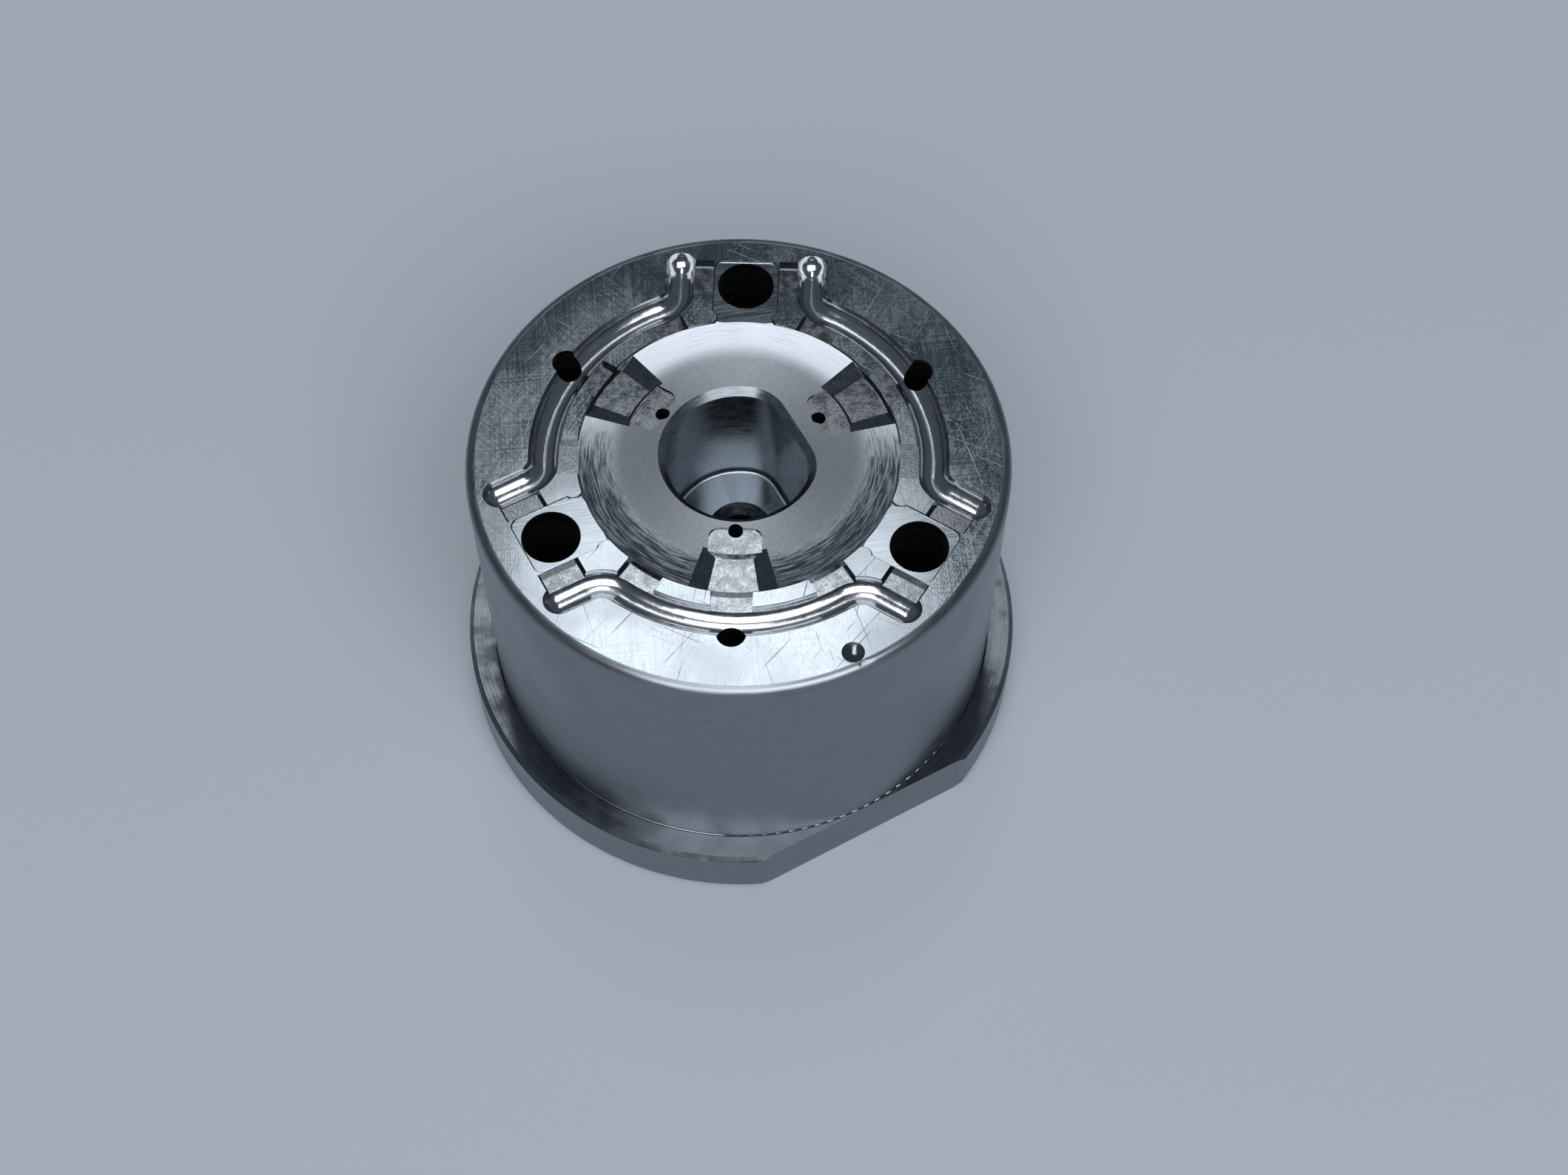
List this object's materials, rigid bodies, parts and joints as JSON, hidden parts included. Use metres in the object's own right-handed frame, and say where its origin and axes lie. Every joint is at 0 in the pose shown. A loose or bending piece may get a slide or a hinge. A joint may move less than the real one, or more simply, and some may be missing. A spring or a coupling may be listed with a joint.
{
  "type": "injection mould insert",
  "caption": "Round flanged steel core insert of an injection mould, with runners, gates, shallow pockets, ejector bores and a D-shaped bore.",
  "frame": {"origin": "on the body's axis at the underside of the flange", "axes": "+Z along the body's axis, out of the parting face; +Y through the ejector bore at the back"},
  "size_m": [0.062, 0.062, 0.0398],
  "materials": {
    "tool_steel": "ground and polished"
  },
  "bodies": {
    "root": {"mould_insert": "tool_steel"}
  },
  "joints": []
}
